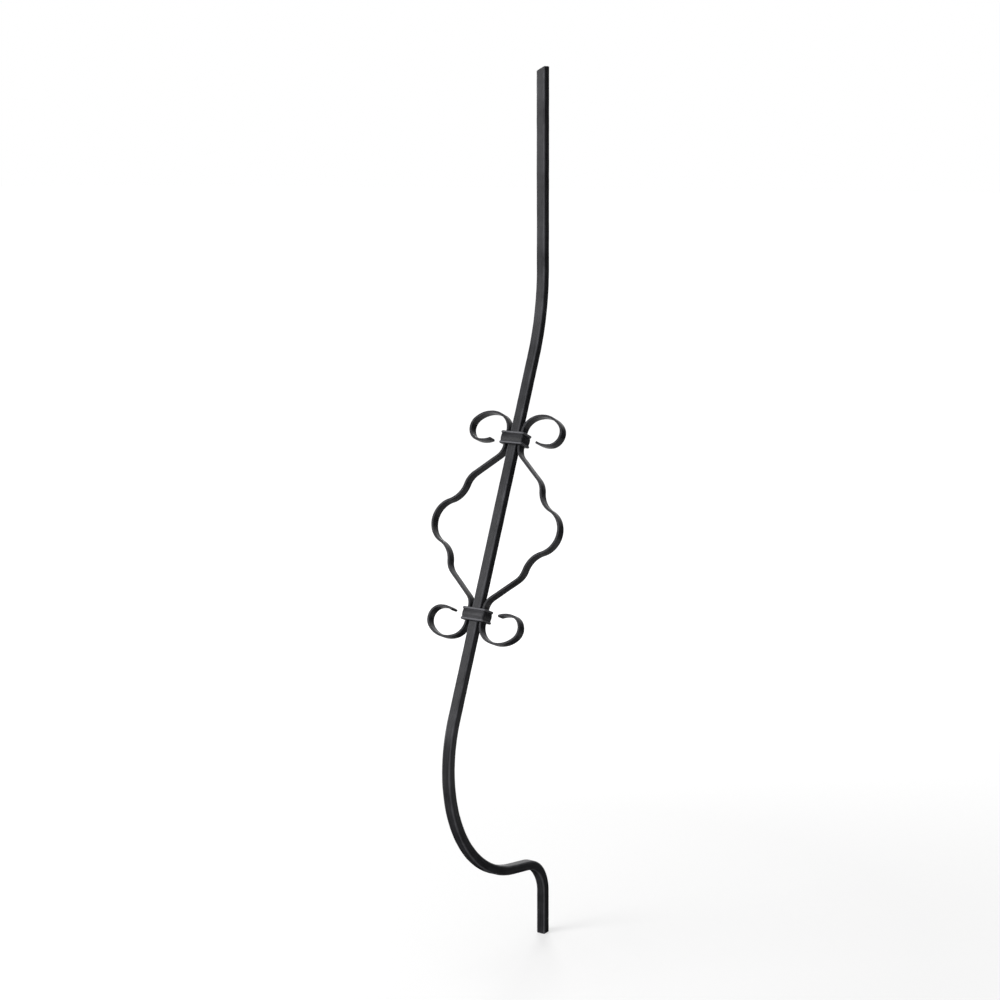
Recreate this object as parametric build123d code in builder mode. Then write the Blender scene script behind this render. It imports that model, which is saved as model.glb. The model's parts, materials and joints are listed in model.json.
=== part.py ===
# Curved iron baluster: a bent square bar with two scroll strips held to it by collars
# Z is up, X runs along the railing, the belly points to -Y, the origin is the centre of the foot's end
import os
from math import cos, radians, sin

from build123d import *

# Whole piece, in millimetres and degrees
overall_height = 1100
belly_depth = 212
rake_angle = 26

# Square bar and its bends, from the foot upwards
bar_width = 12
bar_edge = 1.2
foot_length = 56
foot_bend_radius = 50
foot_bend_angle = 80
belly_radius = 165
lean_angle = 23
top_bend_radius = 270

# Flat strip: its section, then its wave from the middle bulge up to the collar
strip_depth = 12
strip_thickness = 3
motif_shift = 10
bulge_reach = 90
bulge_radius = 28
bulge_turn = 68
dip_radius = 30
dip_turn = 58
shoulder_radius = 24
shoulder_turn = 40
entry_radius = 18

# Stretch of strip held beside the bar, then the arcs of the scroll from there to its tip
hold_gap = 3
hold_length = 18
neck_radius = 21
neck_turn = 65
crown_radius = 33.5
crown_turn = 69
curl_radius = 15.5
curl_turn = 126
tip_radius = 32
tip_turn = 35

# Collar band, its ribs and its seam at the back
collar_height = 16
collar_band = 3.4
collar_corner = 2.5
rib_width = 3.2
edge_rib_rise = 1.2
middle_rib_width = 8
middle_rib_rise = 0.5
seam_gap = 0.8

# Sizes that follow from the ones above
lean = radians(lean_angle)
foot_turn = radians(foot_bend_angle)
tail_length = (belly_depth - (belly_radius + foot_bend_radius) * (1 - cos(foot_turn))) / sin(foot_turn)
lean_length = (belly_depth - (belly_radius + top_bend_radius) * (1 - cos(lean))) / sin(lean)
entry_turn = bulge_turn - dip_turn + shoulder_turn
hold_offset = bar_width / 2 + hold_gap + strip_thickness / 2
bundle_side = hold_offset + strip_thickness / 2
bundle_back = bar_width / 2
collar_reach = collar_band + edge_rib_rise
rib_pitch = (collar_height - rib_width) / 2
rake = radians(rake_angle)

# Main bar, swept from the foot to above the top and cut on the slant
with BuildPart() as main_bar:
    with BuildLine(Plane.YZ) as bar_path:
        foot = Line((0, 0), (0, foot_length))
        foot_bend = JernArc(foot @ 1, foot % 1, foot_bend_radius, foot_bend_angle)
        tail = Line(foot_bend @ 1, foot_bend @ 1 + tail_length * (foot_bend % 1))
        belly = JernArc(tail @ 1, tail % 1, belly_radius, -foot_bend_angle - lean_angle)
        leaning = Line(belly @ 1, belly @ 1 + lean_length * (belly % 1))
        top_bend = JernArc(leaning @ 1, leaning % 1, top_bend_radius, lean_angle)
        Line(top_bend @ 1, (0, overall_height + bar_width))
    with BuildSketch(Plane.XY):
        RectangleRounded(bar_width, bar_width, bar_edge)
    sweep(path=bar_path.wire())
    split(bisect_by=Plane((0, 0, overall_height), z_dir=(-sin(rake), 0, cos(rake))), keep=Keep.BOTTOM)

# Plane of the scroll strips: its X is the row's X and its Y runs up the leaning stretch
up_lean = leaning % 0
motif_centre = leaning @ 0.5 + motif_shift * up_lean
motif_plane = Plane(motif_centre, x_dir=(1, 0, 0), z_dir=Vector(1, 0, 0).cross(up_lean))
mid_plane = Plane(motif_centre, x_dir=(1, 0, 0), z_dir=up_lean)

# Right strip: the upper half of its path, then its mirror below the bulge
with BuildLine(motif_plane) as upper_half:
    bulge = JernArc((bulge_reach, 0), (0, 1), bulge_radius, bulge_turn)
    dip = JernArc(bulge @ 1, bulge % 1, dip_radius, -dip_turn)
    shoulder = JernArc(dip @ 1, dip % 1, shoulder_radius, shoulder_turn)
    entry_reach = hold_offset + entry_radius * (1 - cos(radians(entry_turn)))
    run_length = ((shoulder @ 1).X - entry_reach) / sin(radians(entry_turn))
    run = Line(shoulder @ 1, shoulder @ 1 + run_length * (shoulder % 1))
    entry = JernArc(run @ 1, run % 1, entry_radius, -entry_turn)
    hold = Line(entry @ 1, entry @ 1 + hold_length * (entry % 1))
    neck = JernArc(hold @ 1, hold % 1, neck_radius, -neck_turn)
    crown = JernArc(neck @ 1, neck % 1, crown_radius, -crown_turn)
    curl = JernArc(crown @ 1, crown % 1, curl_radius, -curl_turn)
    JernArc(curl @ 1, curl % 1, tip_radius, -tip_turn)

with BuildPart() as right_scroll:
    with BuildLine() as strip_path:
        add(upper_half.line)
        mirror(upper_half.line, about=mid_plane)
    strip_wire = strip_path.wire()
    with BuildSketch(Plane(strip_wire @ 0, x_dir=motif_plane.z_dir, z_dir=strip_wire % 0)):
        Rectangle(strip_depth, strip_thickness)
    sweep(path=strip_wire)

with BuildPart() as left_scroll:
    mirror(right_scroll.part, about=Plane.YZ)

# Upper collar: a ribbed band wrapped round bar and strips, its ends meeting at the back
collar_plane = Plane((hold @ 0.5).project_to_plane(Plane.YZ), x_dir=(1, 0, 0), z_dir=up_lean)
with BuildPart() as upper_collar:
    with BuildLine(collar_plane) as wrap:
        Polyline(
            (seam_gap / 2, bundle_back),
            (bundle_side, bundle_back),
            (bundle_side, -bundle_back),
            (-bundle_side, -bundle_back),
            (-bundle_side, bundle_back),
            (-seam_gap / 2, bundle_back),
        )
    wrap_wire = wrap.wire()
    with BuildSketch(Plane(wrap_wire @ 0, x_dir=collar_plane.y_dir, z_dir=wrap_wire % 0)):
        with Locations((collar_band / 2, 0)):
            Rectangle(collar_band, collar_height)
        edge_rib = (rib_width, edge_rib_rise)
        middle_rib = (middle_rib_width, middle_rib_rise)
        for offset, (width, rise) in ((-rib_pitch, edge_rib), (0, middle_rib), (rib_pitch, edge_rib)):
            with BuildLine():
                root = Line((collar_band, offset - width / 2), (collar_band, offset + width / 2))
                ThreePointArc(root @ 1, (collar_band + rise, offset), root @ 0)
            make_face()
    sweep(path=wrap_wire, transition=Transition.RIGHT)
    with BuildSketch(collar_plane):
        RectangleRounded(2 * (bundle_side + collar_reach), 2 * (bundle_back + collar_reach), collar_corner)
    extrude(amount=collar_height, both=True, mode=Mode.INTERSECT)

# Lower collar: the same band at the other end of the motif
with BuildPart() as lower_collar:
    mirror(upper_collar.part, about=mid_plane)

# One STEP file per piece
os.makedirs("parts", exist_ok=True)
main_bar.part.label = "main_bar"
export_step(main_bar.part, "parts/main_bar.step")
left_scroll.part.label = "left_scroll"
export_step(left_scroll.part, "parts/left_scroll.step")
right_scroll.part.label = "right_scroll"
export_step(right_scroll.part, "parts/right_scroll.step")
upper_collar.part.label = "upper_collar"
export_step(upper_collar.part, "parts/upper_collar.step")
lower_collar.part.label = "lower_collar"
export_step(lower_collar.part, "parts/lower_collar.step")
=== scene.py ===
# Curved iron baluster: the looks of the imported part, laid out as an add-on and run as a script
import json
from math import asin, atan2, ceil, cos, pi, radians, sin, tan

import bmesh
import bpy
from bpy.props import FloatProperty, FloatVectorProperty, IntProperty, PointerProperty
from bpy.types import NodeSocket, Operator, Panel, PropertyGroup
from mathutils import Matrix, Vector, noise


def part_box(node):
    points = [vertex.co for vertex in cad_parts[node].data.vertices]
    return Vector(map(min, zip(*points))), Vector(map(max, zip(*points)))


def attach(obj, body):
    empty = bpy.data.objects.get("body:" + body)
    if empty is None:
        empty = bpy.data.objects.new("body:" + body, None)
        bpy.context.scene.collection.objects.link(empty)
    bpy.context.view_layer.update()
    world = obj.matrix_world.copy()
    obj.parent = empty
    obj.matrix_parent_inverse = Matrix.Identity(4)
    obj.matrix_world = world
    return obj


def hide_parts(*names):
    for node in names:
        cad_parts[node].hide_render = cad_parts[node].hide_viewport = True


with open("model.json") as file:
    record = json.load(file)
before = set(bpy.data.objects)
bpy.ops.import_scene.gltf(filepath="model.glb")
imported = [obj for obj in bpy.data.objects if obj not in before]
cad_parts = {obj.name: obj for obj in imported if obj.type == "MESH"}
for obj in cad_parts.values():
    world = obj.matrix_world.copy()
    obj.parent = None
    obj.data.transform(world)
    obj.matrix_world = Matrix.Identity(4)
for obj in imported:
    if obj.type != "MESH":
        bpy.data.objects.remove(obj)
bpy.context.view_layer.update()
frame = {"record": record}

bl_info = {
    "name": "Curved Iron Baluster",
    "version": (1, 0, 0),
    "blender": (4, 5, 0),
    "location": "View3D > Sidebar > Baluster",
    "description": "Builds a bellied iron baluster with scroll strips, ribbed collars and a stage",
    "category": "Add Mesh",
}

# Lengths are in metres, as in the frame
MM = 0.001
BODY = "root"

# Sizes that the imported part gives
BAR_LOW, BAR_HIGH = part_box("main_bar")
STRIP_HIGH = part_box("right_scroll")[1]
TOP_MOUNT = next(mount for mount in frame["record"]["mounts"] if mount["name"] == "top")
BAR_WIDTH = BAR_HIGH.x - BAR_LOW.x
STRIP_THICKNESS = 3 * MM

# Small chamfer at a cut end, the angle past which an edge stays crisp, and points that are one
END_CHAMFER = 0.4 * MM
SHARP_ANGLE = radians(40)
WELD_DISTANCE = 0.001 * MM


def linear(hex_colour):
    """An sRGB hex colour as linear red, green and blue."""
    channels = (int(hex_colour[i : i + 2], 16) / 255 for i in (1, 3, 5))
    return tuple(c / 12.92 if c <= 0.04045 else ((c + 0.055) / 1.055) ** 2.4 for c in channels)


def length(name, description, default):
    """A length that a user can set, in metres."""
    return FloatProperty(name=name, description=description, default=default, unit="LENGTH", precision=5)


def angle(name, description, degrees):
    """An angle that a user can set, shown in degrees."""
    return FloatProperty(name=name, description=description, default=radians(degrees), subtype="ANGLE")


def share(name, description, default):
    """A number from 0 to 1 that a user can set."""
    return FloatProperty(
        name=name, description=description, default=default, min=0, max=1, subtype="FACTOR"
    )


def power(name, description, watts):
    """The power of a lamp that a user can set, in watts."""
    return FloatProperty(name=name, description=description, default=watts, unit="POWER")


def colour(name, description, hex_colour):
    """A colour that a user can set, given as sRGB hex."""
    return FloatVectorProperty(
        name=name, description=description, default=linear(hex_colour), min=0, max=1, subtype="COLOR"
    )


class BALUSTER_PG_bar(PropertyGroup):
    """Sizes of the bent square bar, from the foot upwards."""

    width: length("Width", "Side of the square bar", BAR_WIDTH)
    edge_radius: length("Edge Radius", "Rounding of the bar's long edges", 1.8 * MM)
    # The pale zone at the bar's edges is partly coat wear and partly a painted highlight
    wear_and_highlight_width: length("Wear And Highlight Width", "Width of the rubbed zone at the bar's edges", 2.3 * MM)
    height: length("Height", "Height of the top end's centre", TOP_MOUNT["pos_m"][2])
    rake: FloatProperty(
        name="Rake",
        description="Slope of the cut at the top end",
        default=atan2(-TOP_MOUNT["axis"][0], TOP_MOUNT["axis"][2]),
        subtype="ANGLE",
    )
    belly_depth: length("Belly Depth", "From the foot to the belly's middle", -BAR_LOW.y - BAR_WIDTH / 2)
    foot_length: length("Foot Length", "Straight stretch above the foot's end", 56 * MM)
    foot_bend_radius: length("Foot Bend Radius", "Bend above the foot", 50 * MM)
    foot_bend_angle: angle("Foot Bend Angle", "Turn from the foot to the belly", 80)
    belly_radius: length("Belly Radius", "Bend of the belly", 165 * MM)
    lean_angle: angle("Lean Angle", "Lean of the straight stretch above the belly", 23)
    top_bend_radius: length("Top Bend Radius", "Bend from the lean to the straight top", 270 * MM)
    ring_spacing: length("Ring Spacing", "Distance between the mesh rings along the bar", 1.8 * MM)


class BALUSTER_PG_strip(PropertyGroup):
    """Sizes of the two flat strips, from the middle bulge to the scroll's tip."""

    depth: length("Depth", "Width of the flat strip, across the plane of the scrolls", 12 * MM)
    thickness: length("Thickness", "Thickness of the flat strip", STRIP_THICKNESS)
    edge_radius: length("Edge Radius", "Rounding of the strip's long edges", 0.6 * MM)
    # The pale zone at the strip's edges is partly coat wear and partly a painted highlight
    wear_and_highlight_width: length("Wear And Highlight Width", "Width of the rubbed zone at the strip's edges", 0.5 * MM)
    motif_shift: length("Motif Shift", "Height of the bulge above the middle of the lean", 10 * MM)
    bulge_reach: length("Bulge Reach", "From the bar to the bulge", STRIP_HIGH.x - STRIP_THICKNESS / 2)
    bulge_radius: length("Bulge Radius", "Bend of the middle bulge", 28 * MM)
    bulge_turn: angle("Bulge Turn", "Turn of half the bulge", 68)
    dip_radius: length("Dip Radius", "Hollow bend beside the bulge", 30 * MM)
    dip_turn: angle("Dip Turn", "Turn of the hollow bend", 58)
    shoulder_radius: length("Shoulder Radius", "Bend between the hollow and the run to the bar", 24 * MM)
    shoulder_turn: angle("Shoulder Turn", "Turn of the shoulder", 40)
    entry_radius: length("Entry Radius", "Bend where the strip comes beside the bar", 18 * MM)
    hold_gap: length("Hold Gap", "Gap between the strip and the bar under the collar", 3 * MM)
    hold_length: length("Hold Length", "Stretch that runs beside the bar under the collar", 18 * MM)
    neck_radius: length("Neck Radius", "First bend of the scroll", 21 * MM)
    neck_turn: angle("Neck Turn", "Turn of the scroll's first bend", 65)
    crown_radius: length("Crown Radius", "Wide bend over the scroll", 33.5 * MM)
    crown_turn: angle("Crown Turn", "Turn of the wide bend", 69)
    curl_radius: length("Curl Radius", "Tight bend at the scroll's outer end", 15.5 * MM)
    curl_turn: angle("Curl Turn", "Turn of the tight bend", 126)
    tip_radius: length("Tip Radius", "Last bend, up to the tip", 32 * MM)
    tip_turn: angle("Tip Turn", "Turn of the last bend", 35)
    ring_spacing: length("Ring Spacing", "Distance between the mesh rings along the strip", 1.2 * MM)


class BALUSTER_PG_collar(PropertyGroup):
    """Sizes of the ribbed bands round bar and strips."""

    height: length("Height", "Height of the band along the bar", 16 * MM)
    band: length("Band", "Thickness of the band between its ribs", 3.4 * MM)
    rib_width: length("Rib Width", "Width of the upper and lower rib", 3.2 * MM)
    edge_rib_rise: length("Edge Rib Rise", "How far the upper and lower rib stand out", 1.2 * MM)
    middle_rib_width: length("Middle Rib Width", "Width of the middle rib", 8 * MM)
    middle_rib_rise: length("Middle Rib Rise", "How far the middle rib stands out", 0.5 * MM)
    inner_corner: length("Inner Corner", "Corner radius inside the band", 0.2 * MM)
    band_corner: length("Band Corner", "Corner radius of the band between its ribs", 1.4 * MM)
    rib_corner: length("Rib Corner", "Corner radius at the top of the ribs", 2.5 * MM)
    seam_gap: length("Seam Gap", "Gap where the band's ends meet at the back", 0.8 * MM)
    # The pale zone at the ribs' tops is partly coat wear and partly a painted highlight
    wear_and_highlight_width: length("Wear And Highlight Width", "Depth of the rubbed zone at the ribs' tops", 0.7 * MM)


class BALUSTER_PG_finish(PropertyGroup):
    """The satin black coat and the marks of the forge."""

    coat: colour("Coat", "Black coat where it is thick", "#232325")
    scale: colour("Scale", "Where forge scale shows through the coat", "#3a3a3d")
    # Pale edge colour: coat worn thin, and a painted highlight on edges and rib tops
    rubbed_and_highlit: colour("Rubbed And Highlit", "Edges where the coat is rubbed thin", "#6a6a6e")
    roughness: share("Roughness", "Middle roughness of the coat", 0.33)
    roughness_spread: share("Roughness Spread", "How far the roughness goes up and down", 0.1)
    cloud_size: length("Cloud Size", "Size of the clouds in the coat", 34 * MM)
    grain_size: length("Grain Size", "Size of the scale's grain", 1.4 * MM)
    planish_depth: length("Planish Depth", "Depth of the hammer's dents", 0.1 * MM)
    planish_size: length("Planish Size", "Width of the hammer's dents", 13 * MM)
    seed: IntProperty(name="Seed", description="Changes the pattern of the dents", default=4)


class BALUSTER_PG_stage(PropertyGroup):
    """Camera, lights and floor."""

    azimuth: angle("Azimuth", "How far round the baluster the camera stands", 32)
    elevation: angle("Elevation", "How far the camera looks down", 10.53)
    distance: length("Distance", "From the camera to its target", 2.4)
    target_height: length("Target Height", "Height that the camera is aimed at", 0.55)
    lens: FloatProperty(
        name="Lens", description="Focal length in millimetres", default=68.85, unit="CAMERA"
    )
    shift_x: FloatProperty(name="Shift X", description="Sideways shift of the view", default=-0.0429)
    shift_y: FloatProperty(name="Shift Y", description="Upward shift of the view", default=0.0182)
    floor: colour("Floor", "Colour of the floor's paper", "#b4b4b4")
    key_power: power("Key Power", "Power of the light at the front left", 24)
    front_power: power("Front Power", "Power of the large light in front", 26)
    top_power: power("Top Power", "Power of the light above", 14)
    back_power: power("Back Power", "Power of the light behind", 30)
    surround: share("Surround", "Strength of the light from all round", 0.26)


class BALUSTER_PG_settings(PropertyGroup):
    """All settings of the baluster."""

    bar: PointerProperty(type=BALUSTER_PG_bar)
    strip: PointerProperty(type=BALUSTER_PG_strip)
    collar: PointerProperty(type=BALUSTER_PG_collar)
    finish: PointerProperty(type=BALUSTER_PG_finish)
    stage: PointerProperty(type=BALUSTER_PG_stage)


# Lines and sections


class Trace:
    """A line drawn in a plane as straights and arcs, with points about evenly spaced."""

    def __init__(self, start, heading, spacing):
        self.points = [Vector(start)]
        self.heading = heading
        self.spacing = spacing

    @property
    def end(self):
        """The last point so far."""
        return self.points[-1]

    def straight(self, size):
        """Goes straight on."""
        self.walk(size, 0)

    def arc(self, radius, turn):
        """Goes on round an arc, to the left where the turn is positive."""
        self.walk(radius * abs(turn), turn)

    def walk(self, size, turn):
        """Goes on by a length and turns evenly on the way."""
        count = max(1, ceil(size / self.spacing))
        half_turn = turn / count / 2
        chord = size / count * (sin(half_turn) / half_turn if turn else 1)
        for _ in range(count):
            self.heading += half_turn
            self.points.append(self.end + chord * Vector((cos(self.heading), sin(self.heading))))
            self.heading += half_turn


def bar_line(bar):
    """The bar's centre line as Y and Z, from the foot's end to the top, and the middle of its lean."""
    foot_turn = bar.foot_bend_angle
    tail = bar.belly_depth - (bar.belly_radius + bar.foot_bend_radius) * (1 - cos(foot_turn))
    lean = bar.belly_depth - (bar.belly_radius + bar.top_bend_radius) * (1 - cos(bar.lean_angle))
    line = Trace((0, 0), pi / 2, bar.ring_spacing)
    line.straight(END_CHAMFER)
    line.straight(bar.foot_length - END_CHAMFER)
    line.arc(bar.foot_bend_radius, foot_turn)
    line.straight(tail / sin(foot_turn))
    line.arc(bar.belly_radius, -foot_turn - bar.lean_angle)
    lean_start = line.end
    line.straight(lean / sin(bar.lean_angle))
    lean_middle = (lean_start + line.end) / 2
    line.arc(bar.top_bend_radius, bar.lean_angle)
    line.straight(bar.height - line.end.y - END_CHAMFER)
    line.straight(END_CHAMFER)
    return line.points, lean_middle


def motif_frame(bar, strip):
    """Matrix of the scrolls' plane: its X is the row's X, its Y runs up the lean, its Z looks forward."""
    middle = bar_line(bar)[1]
    up = Vector((0, sin(bar.lean_angle), cos(bar.lean_angle)))
    across = Vector((1, 0, 0))
    centre = Vector((0, middle.x, middle.y)) + strip.motif_shift * up
    turn = Matrix((across, up, across.cross(up))).transposed()
    return Matrix.Translation(centre) @ turn.to_4x4()


def strip_line(bar, strip):
    """The right strip's centre line in the scrolls' plane, tip to tip, and the middle of its upper hold."""
    entry_turn = strip.bulge_turn - strip.dip_turn + strip.shoulder_turn
    hold_offset = bar.width / 2 + strip.hold_gap + strip.thickness / 2
    line = Trace((strip.bulge_reach, 0), pi / 2, strip.ring_spacing)
    line.arc(strip.bulge_radius, strip.bulge_turn)
    line.arc(strip.dip_radius, -strip.dip_turn)
    line.arc(strip.shoulder_radius, strip.shoulder_turn)
    entry_reach = hold_offset + strip.entry_radius * (1 - cos(entry_turn))
    line.straight((line.end.x - entry_reach) / sin(entry_turn))
    line.arc(strip.entry_radius, -entry_turn)
    hold_middle = line.end.y + strip.hold_length / 2
    line.straight(strip.hold_length)
    line.arc(strip.neck_radius, -strip.neck_turn)
    line.arc(strip.crown_radius, -strip.crown_turn)
    line.arc(strip.curl_radius, -strip.curl_turn)
    chamfer_turn = END_CHAMFER / strip.tip_radius
    line.arc(strip.tip_radius, chamfer_turn - strip.tip_turn)
    line.arc(strip.tip_radius, -chamfer_turn)
    lower = [Vector((point.x, -point.y)) for point in reversed(line.points[1:])]
    return lower + line.points, hold_middle


def rounded_rectangle(width, depth, radius, spacing, corner_cuts):
    """Points of a rectangle with round corners, as X and Y, against the clock."""
    inner_x = width / 2 - radius
    inner_y = depth / 2 - radius
    corners = [(inner_x, inner_y), (-inner_x, inner_y), (-inner_x, -inner_y), (inner_x, -inner_y)]
    points = []
    for quarter, centre in enumerate(corners):
        arc = []
        for cut in range(corner_cuts + 1):
            turn = (quarter + cut / corner_cuts) * pi / 2
            arc.append(Vector(centre) + radius * Vector((cos(turn), sin(turn))))
        if points:
            points += side_points(points[-1], arc[0], spacing)
        points += arc
    return points + side_points(points[-1], points[0], spacing)


def side_points(start, end, spacing):
    """Points between two ends, without the ends."""
    count = max(1, round((end - start).length / spacing))
    return [start.lerp(end, cut / count) for cut in range(1, count)]


def curve_object(name, points, closed=False, end_scale=1.0):
    """A curve through the points, with its two ends scaled for their chamfer."""
    data = bpy.data.curves.new(name, "CURVE")
    data.dimensions = "3D"
    spline = data.splines.new("POLY")
    spline.points.add(len(points) - 1)
    for knot, place in zip(spline.points, points):
        knot.co = (*place, 1)
    spline.use_cyclic_u = closed
    spline.points[0].radius = end_scale
    spline.points[-1].radius = end_scale
    made = bpy.data.objects.new(name, data)
    bpy.context.scene.collection.objects.link(made)
    return made


# Nodes


def add_node(tree, kind, inputs=None, **settings):
    """Adds one node with its settings; inputs maps a socket's name or number to a value or an output."""
    made = tree.nodes.new(kind)
    for key, value in settings.items():
        setattr(made, key, value)
    for key, value in (inputs or {}).items():
        if isinstance(value, NodeSocket):
            tree.links.new(value, made.inputs[key])
        else:
            made.inputs[key].default_value = value
    return made


SWEEP_INPUTS = {
    "Path": "NodeSocketObject",
    "Section": "NodeSocketObject",
    "Section Width": "NodeSocketFloat",
    "Section Depth": "NodeSocketFloat",
    "Wear And Highlight Width": "NodeSocketFloat",
    "Plane Normal": "NodeSocketVector",
    "Planish Depth": "NodeSocketFloat",
    "Planish Size": "NodeSocketFloat",
    "Seed": "NodeSocketInt",
    "Rake Slope": "NodeSocketFloat",
    "Rake Start": "NodeSocketFloat",
    "Rake End": "NodeSocketFloat",
    "Material": "NodeSocketMaterial",
}


def forged_sweep_tree():
    """A tree that sweeps a section along a path, dents it as a hammer does and slants its upper end."""
    tree = bpy.data.node_groups.new("Forged Sweep", "GeometryNodeTree")
    for name, kind in SWEEP_INPUTS.items():
        tree.interface.new_socket(name=name, in_out="INPUT", socket_type=kind)
    tree.interface.new_socket(name="Geometry", in_out="OUTPUT", socket_type="NodeSocketGeometry")
    given = add_node(tree, "NodeGroupInput").outputs
    way = add_node(tree, "GeometryNodeSplineParameter").outputs["Length"]
    place = add_node(tree, "GeometryNodeInputPosition").outputs[0]

    # Path, with its normals fixed to the plane that it lies in
    path = add_node(tree, "GeometryNodeObjectInfo", {"Object": given["Path"]}).outputs["Geometry"]
    path = add_node(
        tree, "GeometryNodeSetCurveNormal", {"Curve": path, "Normal": given["Plane Normal"]}, mode="FREE"
    ).outputs[0]
    path = add_node(
        tree, "GeometryNodeStoreNamedAttribute", {"Geometry": path, "Name": "along", "Value": way}
    ).outputs[0]

    # Section, with its way round and its distance from the nearest long edge, in widths of the pale edge
    # zone that is partly wear and partly a painted highlight
    section = add_node(tree, "GeometryNodeObjectInfo", {"Object": given["Section"]}).outputs["Geometry"]
    section = add_node(
        tree, "GeometryNodeStoreNamedAttribute", {"Geometry": section, "Name": "around", "Value": way}
    ).outputs[0]
    from_middle = add_node(tree, "ShaderNodeVectorMath", {0: place}, operation="ABSOLUTE").outputs[0]
    halves = add_node(
        tree, "ShaderNodeCombineXYZ", {"X": given["Section Width"], "Y": given["Section Depth"]}
    ).outputs[0]
    halves = add_node(tree, "ShaderNodeVectorMath", {0: halves, "Scale": 0.5}, operation="SCALE").outputs[0]
    from_sides = add_node(
        tree, "ShaderNodeVectorMath", {0: halves, 1: from_middle}, operation="SUBTRACT"
    ).outputs[0]
    from_sides = add_node(tree, "ShaderNodeSeparateXYZ", {0: from_sides}).outputs
    from_edge = add_node(
        tree, "ShaderNodeMath", {0: from_sides["X"], 1: from_sides["Y"]}, operation="MAXIMUM"
    ).outputs[0]
    edge_gap = add_node(
        tree, "ShaderNodeMath", {0: from_edge, 1: given["Wear And Highlight Width"]}, operation="DIVIDE"
    ).outputs[0]
    section = add_node(
        tree,
        "GeometryNodeStoreNamedAttribute",
        {"Geometry": section, "Name": "edge_gap", "Value": edge_gap},
    ).outputs[0]

    radius = add_node(tree, "GeometryNodeInputRadius").outputs[0]
    swept = add_node(
        tree,
        "GeometryNodeCurveToMesh",
        {"Curve": path, "Profile Curve": section, "Scale": radius, "Fill Caps": True},
    ).outputs[0]

    # Hammer dents, a soft noise along the surface's normal
    fineness = add_node(
        tree, "ShaderNodeMath", {0: 1.0, 1: given["Planish Size"]}, operation="DIVIDE"
    ).outputs[0]
    dents = add_node(
        tree,
        "ShaderNodeTexNoise",
        {"Vector": place, "W": given["Seed"], "Scale": fineness, "Detail": 1.0, "Roughness": 0.4},
        noise_dimensions="4D",
    ).outputs["Fac"]
    dents = add_node(
        tree, "ShaderNodeMapRange", {"Value": dents, "From Min": 0.25, "From Max": 0.75, "To Min": -1.0}
    ).outputs[0]
    dents = add_node(
        tree, "ShaderNodeMath", {0: dents, 1: given["Planish Depth"]}, operation="MULTIPLY"
    ).outputs[0]
    outward = add_node(tree, "GeometryNodeInputNormal").outputs["Normal"]
    shove = add_node(
        tree, "ShaderNodeVectorMath", {0: outward, "Scale": dents}, operation="SCALE"
    ).outputs[0]
    swept = add_node(tree, "GeometryNodeSetPosition", {"Geometry": swept, "Offset": shove}).outputs[0]

    # Slant of the upper end, eased in below it
    spot = add_node(tree, "ShaderNodeSeparateXYZ", {0: place}).outputs
    reach = add_node(
        tree,
        "ShaderNodeMapRange",
        {"Value": spot["Z"], "From Min": given["Rake Start"], "From Max": given["Rake End"]},
    ).outputs[0]
    rise = add_node(
        tree, "ShaderNodeMath", {0: spot["X"], 1: given["Rake Slope"]}, operation="MULTIPLY"
    ).outputs[0]
    rise = add_node(tree, "ShaderNodeMath", {0: rise, 1: reach}, operation="MULTIPLY").outputs[0]
    lift = add_node(tree, "ShaderNodeCombineXYZ", {"Z": rise}).outputs[0]
    swept = add_node(tree, "GeometryNodeSetPosition", {"Geometry": swept, "Offset": lift}).outputs[0]

    swept = add_node(tree, "GeometryNodeSetShadeSmooth", {"Geometry": swept}).outputs[0]
    swept = add_node(tree, "GeometryNodeRealizeInstances", {"Geometry": swept}).outputs[0]
    swept = add_node(
        tree, "GeometryNodeSetMaterial", {"Geometry": swept, "Material": given["Material"]}
    ).outputs[0]
    add_node(tree, "NodeGroupOutput", {"Geometry": swept})
    return tree


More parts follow.
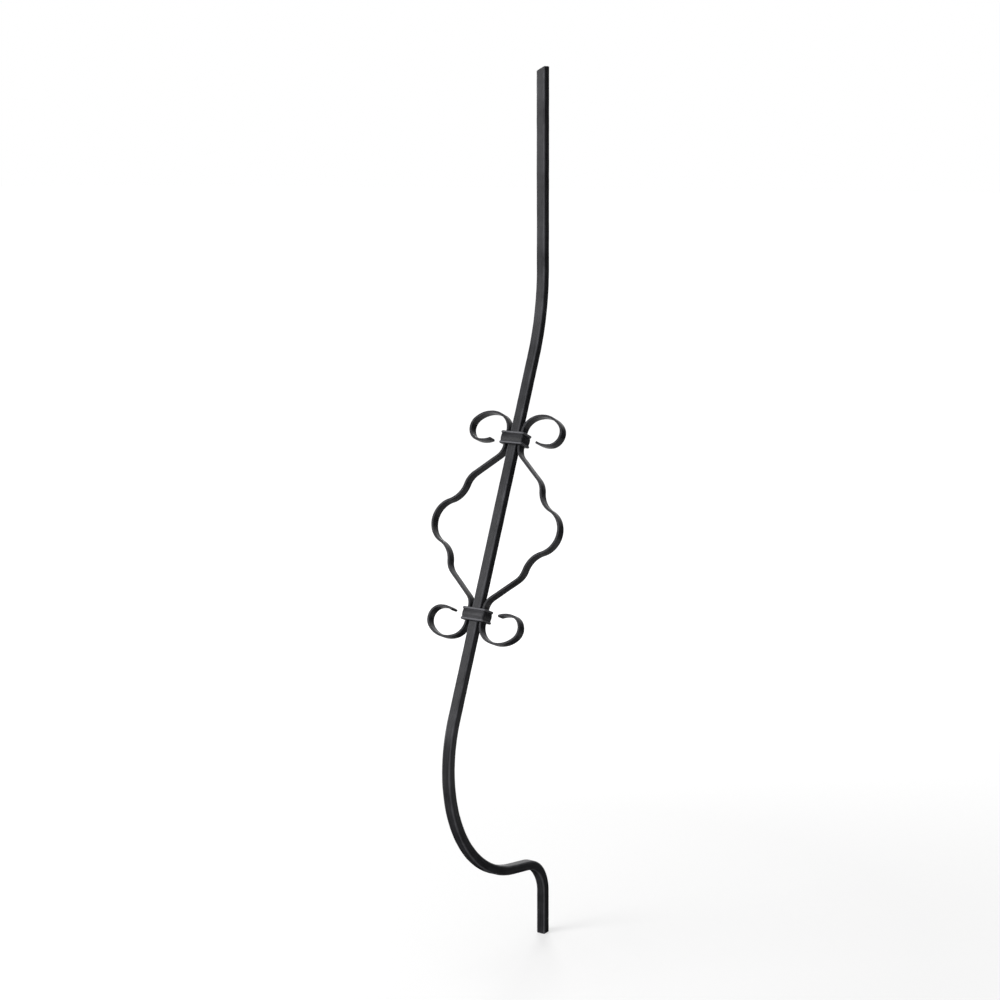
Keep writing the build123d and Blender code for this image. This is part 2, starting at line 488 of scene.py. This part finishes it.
def satin_black_iron(finish):
    """Hot-rolled iron, forged and given a satin black coat.

    The eye sees a dark soft sheen, clouded where scale lies under the coat, with a fine grain, faint
    rolling lines along the bar, and paler edges and rib tops, partly where the coat is worn thin and
    partly a painted highlight of the light that they catch.
    """
    name = "satin_black_iron"
    if name in bpy.data.materials:
        return bpy.data.materials[name]
    material = bpy.data.materials.new(name)
    material.use_nodes = True
    tree = material.node_tree
    shader = tree.nodes["Principled BSDF"]
    place = add_node(tree, "ShaderNodeTexCoord").outputs["Object"]

    clouds = add_node(
        tree,
        "ShaderNodeTexNoise",
        {"Vector": place, "Scale": 1 / finish.cloud_size, "Detail": 4.0, "Roughness": 0.6},
    ).outputs["Fac"]

    # Real scale is finer; its grain is drawn coarse enough to show
    grain = add_node(
        tree,
        "ShaderNodeTexNoise",
        {"Vector": place, "Scale": 1 / finish.grain_size, "Detail": 3.0, "Roughness": 0.65},
    ).outputs["Fac"]

    # Rolling lines run along the piece: long in that direction, narrow across it
    along = add_node(tree, "ShaderNodeAttribute", attribute_name="along").outputs["Fac"]
    around = add_node(tree, "ShaderNodeAttribute", attribute_name="around").outputs["Fac"]
    line_length = 45 * MM
    line_width = 1.1 * MM
    along = add_node(
        tree, "ShaderNodeMath", {0: along, 1: 1 / line_length}, operation="MULTIPLY"
    ).outputs[0]
    around = add_node(
        tree, "ShaderNodeMath", {0: around, 1: 1 / line_width}, operation="MULTIPLY"
    ).outputs[0]
    line_place = add_node(tree, "ShaderNodeCombineXYZ", {"X": along, "Y": around}).outputs[0]
    lines = add_node(
        tree, "ShaderNodeTexNoise", {"Vector": line_place, "Scale": 1.0, "Detail": 2.0}
    ).outputs["Fac"]

    # Pale edges, partly coat worn thin and partly a painted highlight, wider and narrower with the clouds
    edge_gap = add_node(tree, "ShaderNodeAttribute", attribute_name="edge_gap").outputs["Fac"]
    ragged = add_node(
        tree,
        "ShaderNodeMapRange",
        {"Value": clouds, "From Min": 0.3, "From Max": 0.7, "To Min": 0.3, "To Max": -0.3},
    ).outputs[0]
    ragged_gap = add_node(tree, "ShaderNodeMath", {0: edge_gap, 1: ragged}, operation="ADD").outputs[0]
    rubbed_and_highlit = add_node(
        tree,
        "ShaderNodeMapRange",
        {"Value": ragged_gap, "From Min": 0.1, "From Max": 1.0, "To Min": 0.85, "To Max": 0.0},
    ).outputs[0]

    worn = add_node(tree, "ShaderNodeMath", {0: clouds, 1: lines}, operation="ADD").outputs[0]
    scale_share = add_node(
        tree, "ShaderNodeMapRange", {"Value": worn, "From Min": 0.75, "From Max": 1.25}
    ).outputs[0]
    coat = add_node(
        tree,
        "ShaderNodeMix",
        {0: scale_share, 6: (*finish.coat, 1), 7: (*finish.scale, 1)},
        data_type="RGBA",
    ).outputs[2]
    # The pale edge colour is mixed in here: worn coat and a painted highlight on edges and rib tops
    surface = add_node(
        tree, "ShaderNodeMix", {0: rubbed_and_highlit, 6: coat, 7: (*finish.rubbed_and_highlit, 1)}, data_type="RGBA"
    ).outputs[2]
    tree.links.new(surface, shader.inputs["Base Color"])

    mixed = add_node(tree, "ShaderNodeMath", {0: grain, 1: lines}, operation="ADD").outputs[0]
    roughness = add_node(
        tree,
        "ShaderNodeMapRange",
        {
            "Value": mixed,
            "From Min": 0.7,
            "From Max": 1.3,
            "To Min": finish.roughness - finish.roughness_spread,
            "To Max": finish.roughness + finish.roughness_spread,
        },
    ).outputs[0]
    tree.links.new(roughness, shader.inputs["Roughness"])
    bump = add_node(
        tree, "ShaderNodeBump", {"Strength": 0.35, "Distance": 0.12 * MM, "Height": mixed}
    ).outputs[0]
    tree.links.new(bump, shader.inputs["Normal"])
    # A thin matt coat throws back less than gloss paint does, most of all along the surface
    shader.inputs["IOR"].default_value = 1.17
    return material


# Pieces


def sweep_piece(name, path, section, inputs, settings):
    """Runs the sweep on a new object and leaves it as a plain mesh."""
    tree = bpy.data.node_groups.get("Forged Sweep") or forged_sweep_tree()
    finish = settings.finish
    piece = bpy.data.objects.new(name, bpy.data.meshes.new(name))
    bpy.context.scene.collection.objects.link(piece)
    modifier = piece.modifiers.new("sweep", "NODES")
    modifier.node_group = tree
    values = {
        "Path": path,
        "Section": section,
        "Planish Depth": finish.planish_depth,
        "Planish Size": finish.planish_size,
        "Seed": finish.seed,
        "Material": satin_black_iron(finish),
        **inputs,
    }
    sockets = {item.name: item.identifier for item in tree.interface.items_tree}
    for key, value in values.items():
        modifier[sockets[key]] = value
    graph = bpy.context.evaluated_depsgraph_get()
    mesh = bpy.data.meshes.new_from_object(
        piece.evaluated_get(graph), preserve_all_data_layers=True, depsgraph=graph
    )
    piece.modifiers.clear()
    piece.data = mesh
    for helper in (path, section):
        bpy.data.curves.remove(helper.data)
    return close_piece(piece)


def close_piece(piece):
    """Turns a piece's faces outwards and keeps its cut ends crisp."""
    shape = bmesh.new()
    shape.from_mesh(piece.data)
    bmesh.ops.recalc_face_normals(shape, faces=shape.faces)
    shape.to_mesh(piece.data)
    shape.free()
    piece.data.set_sharp_from_angle(angle=SHARP_ANGLE)
    return piece


def declare(piece, node):
    """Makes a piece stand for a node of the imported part."""
    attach(piece, BODY)
    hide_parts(node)


class BALUSTER_OT_bar(Operator):
    """Sweep the bent square bar and slant its top end"""

    bl_idname = "baluster.bar"
    bl_label = "Build Bar"

    def execute(self, context):
        settings = context.scene.baluster
        bar = settings.bar
        points = [(0, point.x, point.y) for point in bar_line(bar)[0]]
        end_scale = 1 - 2 * END_CHAMFER / bar.width
        path = curve_object("bar_path", points, end_scale=end_scale)
        outline = rounded_rectangle(
            bar.width, bar.width, bar.edge_radius, spacing=1.2 * MM, corner_cuts=4
        )
        section = curve_object("bar_section", [(*point, 0) for point in outline], closed=True)
        inputs = {
            "Section Width": bar.width,
            "Section Depth": bar.width,
            # Width of the pale edge zone: coat wear and a painted highlight
            "Wear And Highlight Width": bar.wear_and_highlight_width,
            "Plane Normal": (1.0, 0.0, 0.0),
            "Rake Slope": tan(bar.rake),
            "Rake Start": bar.height - 2 * bar.width,
            "Rake End": bar.height - END_CHAMFER,
        }
        piece = sweep_piece("iron_bar", path, section, inputs, settings)
        declare(piece, "main_bar")
        return {"FINISHED"}


class BALUSTER_OT_scrolls(Operator):
    """Sweep the two flat strips with their scrolled ends"""

    bl_idname = "baluster.scrolls"
    bl_label = "Build Scroll Strips"

    def execute(self, context):
        settings = context.scene.baluster
        bar = settings.bar
        strip = settings.strip
        plane = motif_frame(bar, strip)
        line = strip_line(bar, strip)[0]
        end_scale = 1 - 2 * END_CHAMFER / strip.depth
        outline = rounded_rectangle(
            strip.depth, strip.thickness, strip.edge_radius, spacing=1.4 * MM, corner_cuts=3
        )
        inputs = {
            "Section Width": strip.depth,
            "Section Depth": strip.thickness,
            # Width of the pale edge zone: coat wear and a painted highlight
            "Wear And Highlight Width": strip.wear_and_highlight_width,
            "Plane Normal": plane.col[2].to_3d(),
        }
        for side, sign in (("right", 1), ("left", -1)):
            points = [plane @ Vector((sign * point.x, point.y, 0)) for point in line]
            path = curve_object(f"{side}_path", points, end_scale=end_scale)
            section = curve_object(f"{side}_section", [(*point, 0) for point in outline], closed=True)
            piece = sweep_piece(f"{side}_strip", path, section, inputs, settings)
            declare(piece, f"{side}_scroll")
        return {"FINISHED"}


def collar_profile(collar):
    """The band's section as height and outset: down its plain inside, then up its ribbed outside."""
    half = collar.height / 2
    pitch = half - collar.rib_width / 2
    inner_cuts = 8
    rib_cuts = 10
    points = [(half - cut / inner_cuts * collar.height, 0) for cut in range(inner_cuts + 1)]
    edge_rib = (collar.rib_width, collar.edge_rib_rise)
    middle_rib = (collar.middle_rib_width, collar.middle_rib_rise)
    for middle, (width, rise) in ((-pitch, edge_rib), (0, middle_rib), (pitch, edge_rib)):
        radius = (width**2 / 4 + rise**2) / (2 * rise)
        spread = asin(width / 2 / radius)
        for cut in range(rib_cuts + 1):
            swing = (2 * cut / rib_cuts - 1) * spread
            points.append((middle + radius * sin(swing), collar.band + rise - radius * (1 - cos(swing))))
    return points


def collar_ring(half_x, half_y, radius, gap):
    """Points round a collar from one side of the seam at the back to the other, as X and Y."""
    corner_cuts = 6
    side_cuts = 8
    seam = Vector((gap / 2, half_y))
    corners = [(1, 1, pi / 2), (1, -1, 0), (-1, -1, -pi / 2), (-1, 1, -pi)]
    points = [seam]
    for sign_x, sign_y, start in corners:
        centre = Vector((sign_x * (half_x - radius), sign_y * (half_y - radius)))
        arc = []
        for cut in range(corner_cuts + 1):
            turn = start - cut / corner_cuts * pi / 2
            arc.append(centre + radius * Vector((cos(turn), sin(turn))))
        last = points[-1]
        points += [last.lerp(arc[0], cut / side_cuts) for cut in range(1, side_cuts)]
        points += arc
    last = points[-1]
    end = Vector((-gap / 2, half_y))
    return points + [last.lerp(end, cut / side_cuts) for cut in range(1, side_cuts + 1)]


def collar_corner(collar, outset):
    """Corner radius of the ring at an outset: tight inside, wider at the ribs' tops."""
    if outset == 0:
        return collar.inner_corner
    rise_share = max(0, (outset - collar.band) / collar.edge_rib_rise)
    return collar.band_corner + rise_share * (collar.rib_corner - collar.band_corner)


def collar_mesh(name, settings, plane, height):
    """One ribbed band at a height in the scrolls' plane, open at its seam."""
    bar = settings.bar
    strip = settings.strip
    collar = settings.collar
    finish = settings.finish
    half_x = bar.width / 2 + strip.hold_gap + strip.thickness
    half_y = bar.width / 2
    reach = collar.band + collar.edge_rib_rise
    profile = collar_profile(collar)
    shape = bmesh.new()
    gaps = shape.verts.layers.float.new("edge_gap")
    alongs = shape.verts.layers.float.new("along")
    arounds = shape.verts.layers.float.new("around")
    front = plane.to_3x3()
    rows = []
    for level, outset in profile:
        radius = collar_corner(collar, outset)
        row = []
        along = 0
        last = None
        for point in collar_ring(half_x + outset, half_y + outset, radius, collar.seam_gap):
            place = plane @ Vector((point.x, height + level, -point.y))
            if outset:
                outward = front @ Vector((point.x, 0, -point.y)).normalized()
                place += noise.noise(place / finish.planish_size) * finish.planish_depth * outward
            if last:
                along += (point - last).length
            last = point
            vertex = shape.verts.new(place)
            # Distance below the ribs' tops, in widths of the pale zone that paints their highlight along
            # with wear
            vertex[gaps] = (reach - outset) / collar.wear_and_highlight_width
            vertex[alongs] = along
            vertex[arounds] = level + outset
            row.append(vertex)
        rows.append(row)
    for row, following in zip(rows, rows[1:] + rows[:1]):
        for i in range(len(row) - 1):
            shape.faces.new((row[i], row[i + 1], following[i + 1], following[i]))
    for end in (0, -1):
        shape.faces.new([row[end] for row in rows])
    bmesh.ops.remove_doubles(shape, verts=shape.verts, dist=WELD_DISTANCE)
    for face in shape.faces:
        face.smooth = True
    mesh = bpy.data.meshes.new(name)
    shape.to_mesh(mesh)
    shape.free()
    mesh.materials.append(satin_black_iron(finish))
    return mesh


class BALUSTER_OT_collars(Operator):
    """Build the two ribbed bands that hold the strips to the bar"""

    bl_idname = "baluster.collars"
    bl_label = "Build Collars"

    def execute(self, context):
        settings = context.scene.baluster
        plane = motif_frame(settings.bar, settings.strip)
        hold = strip_line(settings.bar, settings.strip)[1]
        for place, height in (("upper", hold), ("lower", -hold)):
            name = f"{place}_band"
            piece = bpy.data.objects.new(name, collar_mesh(name, settings, plane, height))
            context.scene.collection.objects.link(piece)
            declare(close_piece(piece), f"{place}_collar")
        return {"FINISHED"}


# Stage


def add_light(name, place, aim, size, watts):
    """A square soft light at a place, turned to what it lights."""
    data = bpy.data.lights.new(name, "AREA")
    data.size = size
    data.energy = watts
    light = bpy.data.objects.new(name, data)
    light.location = place
    light.rotation_euler = (Vector(aim) - Vector(place)).to_track_quat("-Z", "Y").to_euler()
    bpy.context.scene.collection.objects.link(light)


def seen_directly(tree):
    """1 for rays that show the surround itself: from the camera, in gloss or through glass."""
    rays = add_node(tree, "ShaderNodeLightPath").outputs
    either = add_node(
        tree,
        "ShaderNodeMath",
        {0: rays["Is Camera Ray"], 1: rays["Is Glossy Ray"]},
        operation="MAXIMUM",
    ).outputs[0]
    return add_node(
        tree, "ShaderNodeMath", {0: either, 1: rays["Is Transmission Ray"]}, operation="MAXIMUM"
    ).outputs[0]


def white_paper(stage):
    """Matt white paper: it takes the shadow and glows to the eye, so that it meets the surround."""
    material = bpy.data.materials.new("white_paper")
    material.use_nodes = True
    tree = material.node_tree
    tree.nodes.clear()
    paper = add_node(tree, "ShaderNodeBsdfDiffuse", {"Color": (*stage.floor, 1)}).outputs[0]
    place = add_node(tree, "ShaderNodeTexCoord").outputs["Object"]
    distance = add_node(tree, "ShaderNodeVectorMath", {0: place}, operation="LENGTH").outputs["Value"]
    near, near_glow = 0.5, 0.55
    far, far_glow = 3.0, 0.95
    level = add_node(
        tree,
        "ShaderNodeMapRange",
        {"Value": distance, "From Min": near, "From Max": far, "To Min": near_glow, "To Max": far_glow},
    ).outputs[0]
    strength = add_node(
        tree, "ShaderNodeMath", {0: seen_directly(tree), 1: level}, operation="MULTIPLY"
    ).outputs[0]
    glow = add_node(tree, "ShaderNodeEmission", {"Strength": strength}).outputs[0]
    both = add_node(tree, "ShaderNodeAddShader", {0: paper, 1: glow}).outputs[0]
    add_node(tree, "ShaderNodeOutputMaterial", {"Surface": both})
    return material


def black_felt():
    """Black felt: it swallows light, as the cards do that darken what a thing mirrors in a studio."""
    material = bpy.data.materials.new("black_felt")
    material.use_nodes = True
    shader = material.node_tree.nodes["Principled BSDF"]
    shader.inputs["Base Color"].default_value = (*linear("#0c0c0c"), 1)
    shader.inputs["Roughness"].default_value = 1.0
    shader.inputs["Specular IOR Level"].default_value = 0.0
    return material


def add_sheet(name, half_x, half_y, material):
    """A flat sheet round its own centre."""
    shape = bmesh.new()
    bmesh.ops.create_grid(
        shape, x_segments=1, y_segments=1, size=1, matrix=Matrix.Diagonal((half_x, half_y, 1, 1))
    )
    mesh = bpy.data.meshes.new(name)
    shape.to_mesh(mesh)
    shape.free()
    mesh.materials.append(material)
    sheet = bpy.data.objects.new(name, mesh)
    bpy.context.scene.collection.objects.link(sheet)
    return sheet


class BALUSTER_OT_stage(Operator):
    """Set up floor, lights, surround and camera"""

    bl_idname = "baluster.stage"
    bl_label = "Set Up Stage"

    def execute(self, context):
        scene = context.scene
        stage = scene.baluster.stage
        scene.view_settings.view_transform = "Standard"

        floor = add_sheet("floor", half_x=60, half_y=60, material=white_paper(stage))

        # Cards that only reflections show, so that the black coat doesn't mirror the white all round
        felt = black_felt()
        side_card = add_sheet("side_card", half_x=0.9, half_y=1.0, material=felt)
        side_card.location = (1.0, 0.75, 0.7)
        facing = Vector((-0.55, -0.8, 0))
        side_card.rotation_euler = facing.to_track_quat("Z", "Y").to_euler()
        low_card = add_sheet("low_card", half_x=0.8, half_y=0.95, material=felt)
        above_floor = 1 * MM
        low_card.location = (-0.2, -0.65, above_floor)
        for card in (side_card, low_card):
            card.visible_camera = False
            card.visible_diffuse = False
            card.visible_shadow = False

        # The lights are turned to the middle of the lean
        aim = (0, -0.1, stage.target_height)
        add_light("key_light", (-1.3, -2.0, 1.3), aim, size=1.0, watts=stage.key_power)
        add_light("front_light", (-0.8, -2.3, 1.6), aim, size=2.0, watts=stage.front_power)
        add_light("top_light", (-0.2, -0.5, 2.6), aim, size=1.0, watts=stage.top_power)
        add_light("back_light", (-1.2, 1.9, 1.6), aim, size=1.0, watts=stage.back_power)

        world = bpy.data.worlds.new("surround")
        world.use_nodes = True
        scene.world = world
        tree = world.node_tree
        strength = add_node(
            tree,
            "ShaderNodeMapRange",
            {"Value": seen_directly(tree), "To Min": stage.surround, "To Max": 1.0},
        ).outputs[0]
        tree.links.new(strength, tree.nodes["Background"].inputs["Strength"])
        tree.nodes["Background"].inputs["Color"].default_value = (1, 1, 1, 1)

        data = bpy.data.cameras.new("camera")
        data.lens = stage.lens
        data.shift_x = stage.shift_x
        data.shift_y = stage.shift_y
        camera = bpy.data.objects.new("camera", data)
        back = Vector(
            (
                sin(stage.azimuth) * cos(stage.elevation),
                -cos(stage.azimuth) * cos(stage.elevation),
                sin(stage.elevation),
            )
        )
        camera.location = Vector((0, 0, stage.target_height)) + stage.distance * back
        camera.rotation_euler = (-back).to_track_quat("-Z", "Y").to_euler()
        scene.collection.objects.link(camera)
        scene.camera = camera
        return {"FINISHED"}


class BALUSTER_PT_panel(Panel):
    """Buttons and settings of the baluster"""

    bl_idname = "BALUSTER_PT_panel"
    bl_label = "Curved Iron Baluster"
    bl_space_type = "VIEW_3D"
    bl_region_type = "UI"
    bl_category = "Baluster"

    def draw(self, context):
        settings = context.scene.baluster
        for operator in OPERATORS:
            self.layout.operator(operator.bl_idname)
        for part in ("bar", "strip", "collar", "finish", "stage"):
            box = self.layout.box()
            box.label(text=part.capitalize())
            group = getattr(settings, part)
            for key in type(group).__annotations__:
                box.prop(group, key)


GROUPS = (
    BALUSTER_PG_bar,
    BALUSTER_PG_strip,
    BALUSTER_PG_collar,
    BALUSTER_PG_finish,
    BALUSTER_PG_stage,
    BALUSTER_PG_settings,
)
OPERATORS = (BALUSTER_OT_bar, BALUSTER_OT_scrolls, BALUSTER_OT_collars, BALUSTER_OT_stage)
CLASSES = (*GROUPS, *OPERATORS, BALUSTER_PT_panel)


def register():
    for kind in CLASSES:
        bpy.utils.register_class(kind)
    bpy.types.Scene.baluster = PointerProperty(type=BALUSTER_PG_settings)


def unregister():
    del bpy.types.Scene.baluster
    for kind in reversed(CLASSES):
        bpy.utils.unregister_class(kind)


def main():
    register()
    bpy.ops.baluster.bar()
    bpy.ops.baluster.scrolls()
    bpy.ops.baluster.collars()
    bpy.ops.baluster.stage()


if __name__ == "__main__":
    main()
